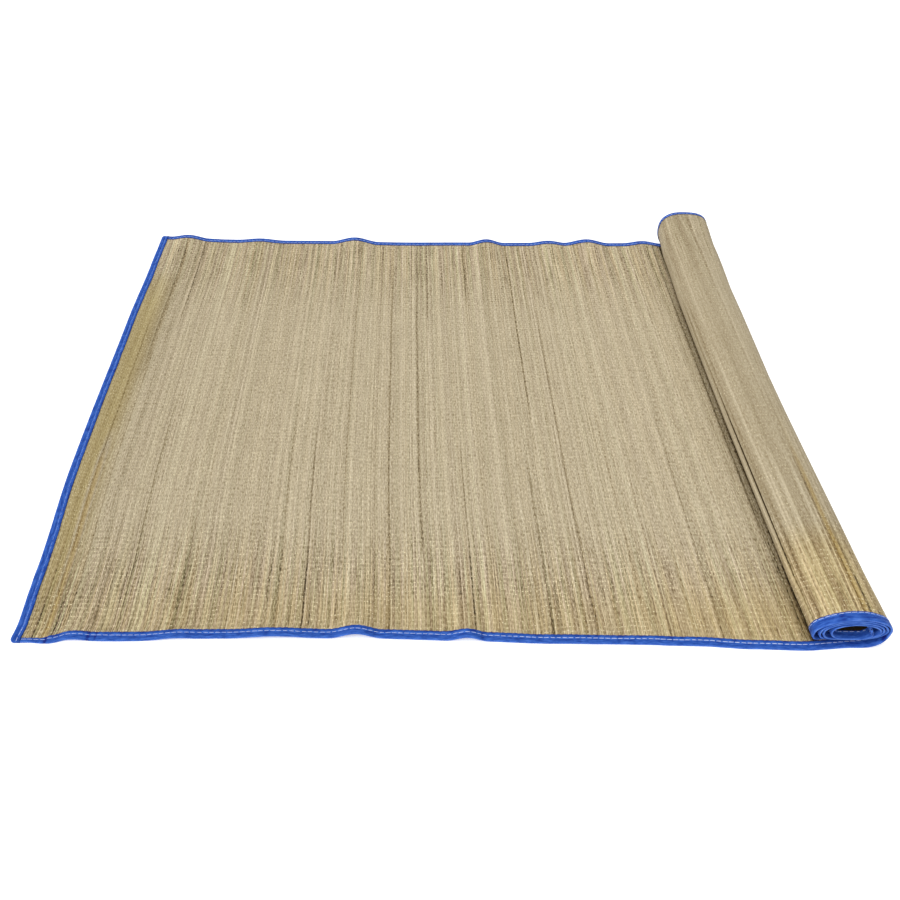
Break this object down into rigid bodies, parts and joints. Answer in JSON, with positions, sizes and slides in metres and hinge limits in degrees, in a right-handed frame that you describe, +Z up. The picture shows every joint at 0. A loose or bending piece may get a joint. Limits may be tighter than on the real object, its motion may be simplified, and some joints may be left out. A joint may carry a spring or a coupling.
{
  "type": "straw beach mat",
  "caption": "Woven straw beach mat with blue cloth tape bound over its edges, lying open on the ground with one end still wound into a loose, flattened roll.",
  "frame": {"origin": "middle of the mat's box on the ground under it", "axes": "+X along the mat from its open end to its roll, -Y towards the front edge where the roll's winding is seen, +Z up"},
  "size_m": [1.0206, 0.9088, 0.0704],
  "materials": {
    "straw_mat": "matt woven straw",
    "front_binding": "matt woven tape",
    "back_binding": "matt woven tape",
    "open_end_binding": "matt woven tape",
    "rolled_end_binding": "matt woven tape"
  },
  "bodies": {
    "root": {"straw_mat": "straw_mat", "front_binding": "front_binding", "back_binding": "back_binding", "open_end_binding": "open_end_binding", "rolled_end_binding": "rolled_end_binding"}
  },
  "joints": []
}
